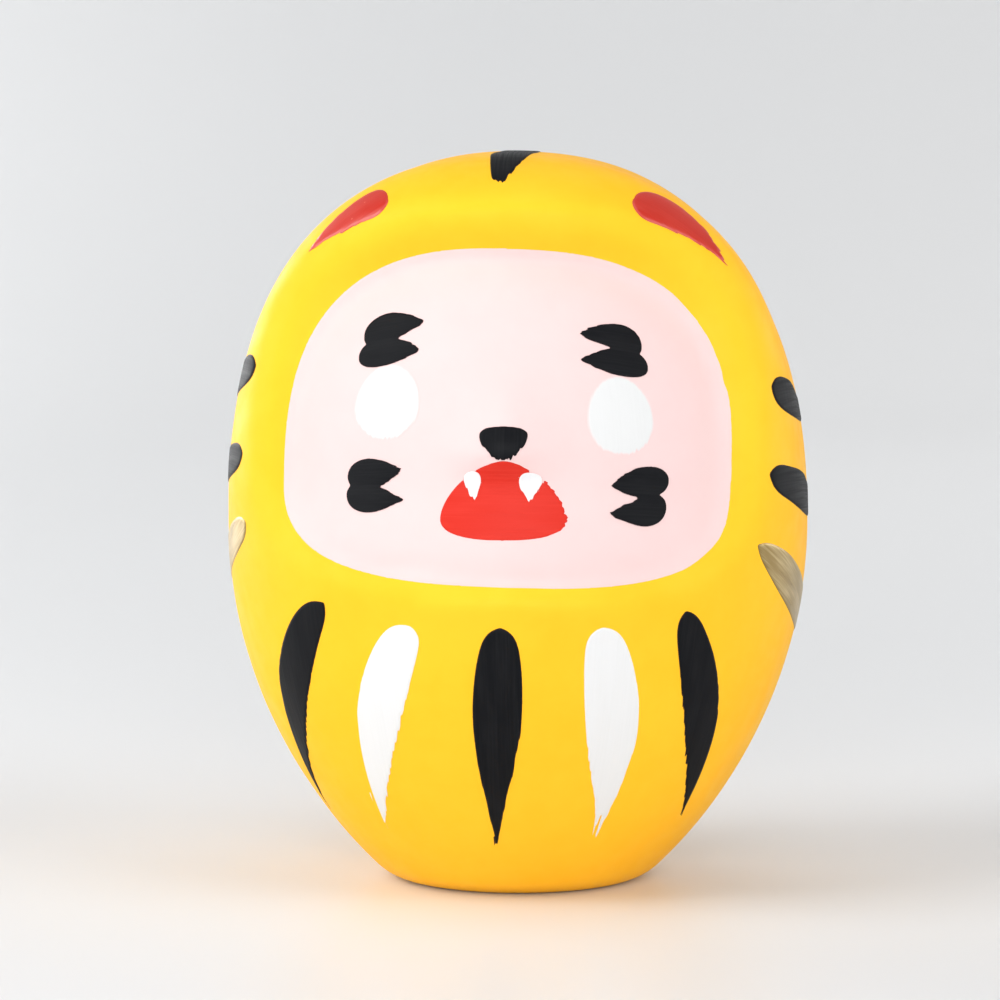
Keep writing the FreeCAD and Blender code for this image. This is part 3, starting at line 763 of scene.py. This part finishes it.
skin_points, skin_quads, row_count = make_yellow_skin()
coat_points, coat_faces = close_skin(skin_points, skin_quads, row_count)
coat = mesh_from("yellow_skin", coat_points, coat_faces)
add_piece("yellow_skin", coat, yellow, "yellow_coat")

outside = mesh_from("outside_form", skin_points, skin_quads)
outside.calc_loop_triangles()
skin = Skin(
    [Vector(point) for point in skin_points],
    [list(triangle.vertices) for triangle in outside.loop_triangles],
    [Vector(normal) for normal in normals_of(outside)],
)

# The ways that the brush went
DOWN = (0, 0, -1)
RIGHT = (1, 0, 0)
LEFT = (-1, 0, 0)
RIGHT_DOWN = (1, 0, -0.5)
LEFT_DOWN = (-1, 0, -0.5)
FORWARDS = (0, -1, -0.3)
BACK_AROUND = (0, 1, -0.12)
BACK_DOWN = (0, 1, -0.5)


class Mark:
    """One painted mark: its CAD film, its paint, and how the brush left it.

    The step of its grid, its bristles' width and their pull are in millimetres, and the film's
    own measures in metres. Hairs are stray bristle lines at the stroke's tip and slits are gaps
    between bristles, each as (start, end, width) for hair_depth. Under lists the marks that this
    one runs on beneath.
    """

    def __init__(
        self, node, material, slot, along, step=0.2, bristle=0.32, pull=0.8, base=0.0,
        height=MARK_FILM, rim_height=0.02 * MM, rim_width=0.3 * MM, hairs=(), slits=(), under=(),
    ):
        self.node = node
        self.material = material
        self.slot = slot
        self.along = along
        self.step = step * MM
        self.bristle = bristle * MM
        self.pull = pull * MM
        self.base = base
        self.height = height
        self.rim_height = rim_height
        self.rim_width = rim_width
        self.hairs = hairs
        self.slits = slits
        self.under = under


def face_mark(node, material, slot, along, **settings):
    """A mark on top of the pink of the face."""
    settings.setdefault("bristle", 0.3)
    settings.setdefault("pull", 0.35)
    return Mark(node, material, slot, along, base=FACE_FILM, **settings)


# Thick paint with a steep rim
BOLD = {"rim_height": 0.075 * MM, "rim_width": 0.2 * MM}
FINE = 0.16  # the grid step of the long strokes on the belly, in millimetres
MARKS = [
    Mark("face_paint", pink, "pink", RIGHT, step=0.4, bristle=3.0, pull=0.2, height=FACE_FILM),
    Mark(
        "belly_stripe_far_left", black, "black", DOWN, step=FINE,
        hairs=(((-2.0, -0.1), (1.6, 0.5), 0.14),),
    ),
    Mark(
        "belly_stripe_left", white, "white", DOWN, step=FINE,
        hairs=(((-1.5, 0.0), (1.3, 0.15), 0.12), ((-5.5, -1.0), (-3.2, -0.85), 0.14)),
        slits=(((-2.6, -0.55), (-5.8, -0.75), 0.13),),
    ),
    Mark(
        "belly_stripe_middle", black, "black", DOWN, step=FINE,
        hairs=(((-1.2, -0.3), (0.5, -0.35), 0.16),),
    ),
    Mark(
        "belly_stripe_right", white, "white", DOWN, step=FINE,
        hairs=(((-6.0, -0.75), (-0.6, -0.6), 0.22),),
        slits=(((-0.6, -0.4), (-4.4, 0.04), 0.17),),
    ),
    Mark(
        "belly_stripe_far_right", black, "black", DOWN, step=FINE,
        hairs=(((-1.4, 0.1), (0.4, 0.35), 0.12),),
    ),
    Mark("ear_left", ear_red, "ear_red", LEFT_DOWN),
    Mark("ear_right", ear_red, "ear_red", RIGHT_DOWN),
    Mark("crown_stripe", black, "black", FORWARDS),
    Mark("crown_back_stripe", black, "black", RIGHT_DOWN),
    Mark("side_stripe_left_upper", black, "black", BACK_AROUND),
    Mark("side_stripe_left_lower", black, "black", BACK_AROUND),
    Mark("side_stripe_right_upper", black, "black", BACK_AROUND),
    Mark("side_stripe_right_lower", black, "black", BACK_AROUND),
    Mark("gold_stripe_left", gold, "gold", BACK_DOWN),
    Mark("gold_stripe_right", gold, "gold", BACK_DOWN),
    face_mark("eye_left", face_white, "white", DOWN, height=UNDER_FILM, under=("eyebrow_left",)),
    face_mark("eye_right", face_white, "white", DOWN, height=UNDER_FILM, under=("eyebrow_right",)),
    face_mark("mouth", red, "red", RIGHT, height=UNDER_FILM, under=("fang_left", "fang_right")),
    face_mark("eyebrow_left", face_black, "black", RIGHT, **BOLD),
    face_mark("eyebrow_right", face_black, "black", LEFT, **BOLD),
    face_mark("whiskers_left", face_black, "black", RIGHT, **BOLD),
    face_mark("whiskers_right", face_black, "black", LEFT, **BOLD),
    face_mark("nose_spot", face_black, "black", DOWN, **BOLD),
    face_mark("fang_left", fang_white, "white", DOWN, step=0.14, **BOLD),
    face_mark("fang_right", fang_white, "white", DOWN, step=0.14, **BOLD),
]

for order, mark in enumerate(MARKS):
    canvas = Canvas(mark.node, mark.along, mark.step)
    outline = outline_of(mark.node, canvas, max(mark.step, OUTLINE_STEP))
    spots = canvas.grid()
    moved = ragged(spots, order * SEED_STEP, mark.bristle, mark.pull)
    depth = depth_inside(moved, outline)
    for upper in mark.under:
        cover = depth_inside(spots, outline_of(upper, canvas, OUTLINE_STEP))
        depth = np.maximum(depth, np.minimum(cover, depth + UNDERLAP))
    tip = tip_of(spots, depth)
    for hair in mark.slits:
        depth = np.minimum(depth, -hair_depth(spots, tip, *hair))
    for hair in mark.hairs:
        depth = np.maximum(depth, hair_depth(spots, tip, *hair))
    mesh = lay_film(
        "painted_" + mark.node, canvas, skin, depth, spots,
        mark.height, mark.base, mark.rim_height, mark.rim_width,
    )
    add_piece("painted_" + mark.node, mesh, mark.material, mark.node)

for node, material in (
    ("paper_shell_front", paper),
    ("paper_shell_back", paper),
    ("base_weight", clay),
    ("seam_strip", washi),
    ("base_strip", washi),
    ("ground_coat", ground),
):
    for slot in nodes[node].material_slots:
        slot.material = material


# ---------------------------------------------------------------- floor, light and camera


def make_stage():
    """A pale floor that sweeps up into a backdrop well behind the doll, all in metres."""
    half = 2.4
    near = -1.6
    wall_top = 2.6
    turn_start = 0.85
    turn_radius = 0.7
    turn_steps = 24
    profile = [(near, 0.0), (-0.5, 0.0), (0.0, 0.0), (0.4, 0.0)]
    for step in range(turn_steps + 1):
        angle = math.pi / 2 * step / turn_steps
        further = turn_radius * math.sin(angle)
        profile.append((turn_start + further, turn_radius * (1 - math.cos(angle))))
    profile.append((turn_start + turn_radius, wall_top))
    points = [(side * half, y, z) for y, z in profile for side in (-1, 1)]
    faces = [(2 * k, 2 * k + 1, 2 * k + 3, 2 * k + 2) for k in range(len(profile) - 1)]
    sweep = bpy.data.objects.new("studio_sweep", mesh_from("studio_sweep", points, faces))
    recipe = Recipe("sweep_board")
    clouds = recipe.noise(recipe.place, scale=3.0)
    colour = recipe.mix(clouds, BOARD, BOARD_CLOUD)
    # Painted light: the board is painted paler behind the doll, on the viewer's right, where a pool
    # of light lies on it
    axes = recipe.add("ShaderNodeSeparateXYZ")
    recipe.feed(axes.inputs[0], recipe.place)
    aside = recipe.remap(axes.outputs["X"], -0.15, 0.22)
    away = recipe.remap(axes.outputs["Y"], 0.1, 0.8)
    turned_up = recipe.remap(axes.outputs["Y"], turn_start, 1.3, to_low=1.0, to_high=0.45)
    pale = recipe.math("MULTIPLY", recipe.math("MULTIPLY", aside, away), turned_up)
    colour = recipe.mix(pale, colour, BOARD_LIT_PATCH)
    fine = recipe.noise(recipe.place, scale=900.0)
    normal = recipe.bump(fine, strength=0.05, distance=0.02 * MM)
    sweep.data.materials.append(recipe.finish(colour, 0.42, normal, specular=0.5))
    scene.collection.objects.link(sweep)


def way_out(turn, rise):
    """The way out from the doll, turned from straight ahead of it and risen from the floor."""
    flat = math.cos(rise)
    return Vector((math.sin(turn) * flat, -math.cos(turn) * flat, math.sin(rise)))


def add_light(name, place, target, size, power):
    lamp = bpy.data.lights.new(name, "AREA")
    lamp.shape = "RECTANGLE"
    lamp.size, lamp.size_y = size
    lamp.energy = power
    holder = bpy.data.objects.new(name, lamp)
    holder.location = place
    holder.rotation_euler = (Vector(target) - Vector(place)).to_track_quat("-Z", "Y").to_euler()
    scene.collection.objects.link(holder)


def make_camera():
    """The camera looks a little down at the doll, from slightly right of straight ahead."""
    turn = math.radians(2.5)
    tilt = math.radians(5.5)
    distance = 0.68
    aim_aside = -2.71  # millimetres
    aim_height = 57.08
    back = way_out(turn, tilt)
    side = Vector((math.cos(turn), math.sin(turn), 0))
    target = side * aim_aside * MM + Vector((0, 0, aim_height * MM))
    lens = bpy.data.cameras.new("camera")
    lens.sensor_width = 36
    lens.lens = 162.4
    lens.clip_start = 0.01
    lens.clip_end = 20
    camera = bpy.data.objects.new("camera", lens)
    camera.location = target + back * distance
    camera.rotation_mode = "QUATERNION"
    camera.rotation_quaternion = (-back).to_track_quat("-Z", "Y")
    scene.collection.objects.link(camera)
    scene.camera = camera


make_stage()
make_camera()
middle = (cad_low + cad_high) / 2

# Softboxes all around the doll and one above it
LAMP_DISTANCE = 1.5
SOFTBOX = (0.9, 0.6)
SKYLIGHT = (1.2, 1.2)
LAMPS = {
    # name: (azimuth, elevation, (width, height), power in watts)
    "back_left": (-135.0, 10.0, SOFTBOX, 13.3),
    "left": (-75.0, 12.0, SOFTBOX, 9.9),
    "front": (0.0, 12.0, SOFTBOX, 14.8),
    "right": (65.0, 12.0, SOFTBOX, 6.2),
    "back_right": (120.0, 10.0, SOFTBOX, 4.4),
    "high_left": (-68.0, 40.0, SOFTBOX, 10.0),
    "high_right": (60.0, 40.0, SOFTBOX, 5.0),
    "top": (0.0, 82.0, SKYLIGHT, 7.8),
}
for name, (azimuth, elevation, size, power) in LAMPS.items():
    out = way_out(math.radians(azimuth), math.radians(elevation))
    add_light(name, middle + out * LAMP_DISTANCE, middle, size, power)

world = bpy.data.worlds.new("studio")
world.use_nodes = True
sky = world.node_tree.nodes["Background"]
sky.inputs["Color"].default_value = (0.98, 0.99, 1.0, 1.0)
sky.inputs["Strength"].default_value = 0.02
scene.world = world
scene.view_settings.view_transform = "Standard"
